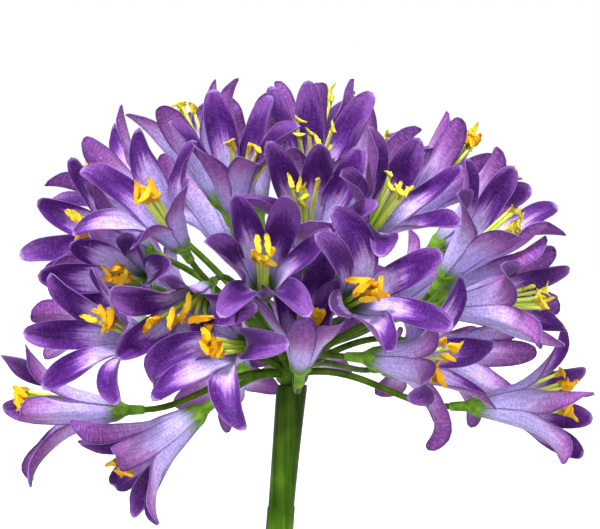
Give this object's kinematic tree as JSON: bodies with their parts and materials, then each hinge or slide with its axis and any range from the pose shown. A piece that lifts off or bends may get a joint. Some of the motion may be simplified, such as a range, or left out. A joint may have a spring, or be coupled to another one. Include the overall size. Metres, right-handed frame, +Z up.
{
  "type": "potted agapanthus",
  "caption": "Artificial African lily: a round head of violet trumpet blooms with yellow anthers on a tall green stem, with strap leaves, in a plain round clay pot.",
  "frame": {"origin": "centre of the pot's underside", "axes": "+Z up through the middle of the pot; the side shown in the picture faces -Y; +X is to the right in the picture"},
  "size_m": [0.3309, 0.3345, 0.471],
  "materials": {
    "petals": "matte printed woven fabric",
    "spray_green": "satin moulded",
    "anthers": "matte moulded",
    "scape": "satin moulded",
    "leaves": "satin moulded",
    "pot_clay": "unglazed",
    "soil": "loose and matte"
  },
  "bodies": {
    "root": {"bloom_01": "petals", "bloom_02": "petals", "bloom_03": "petals", "bloom_04": "petals", "bloom_05": "petals", "bloom_06": "petals", "bloom_07": "petals", "bloom_08": "petals", "bloom_09": "petals", "bloom_10": "petals", "bloom_11": "petals", "bloom_12": "petals", "bloom_13": "petals", "bloom_14": "petals", "bloom_15": "petals", "bloom_16": "petals", "bloom_17": "petals", "bloom_18": "petals", "bloom_19": "petals", "bloom_20": "petals", "bloom_21": "petals", "bloom_22": "petals", "bloom_23": "petals", "bloom_24": "petals", "bloom_25": "petals", "bloom_26": "petals", "bloom_27": "petals", "bloom_28": "petals", "bloom_29": "petals", "bloom_30": "petals", "bloom_31": "petals", "bloom_32": "petals", "bloom_33": "petals", "bloom_34": "petals", "bloom_35": "petals", "bloom_36": "petals", "bloom_37": "petals", "leaf_1": "leaves", "leaf_2": "leaves", "leaf_3": "leaves", "leaf_4": "leaves", "leaf_5": "leaves", "leaf_6": "leaves", "leaf_7": "leaves", "leaf_8": "leaves", "leaf_9": "leaves", "pedicel_spray": "spray_green", "pot": "pot_clay", "scape": "scape", "soil": "soil"}
  },
  "joints": []
}
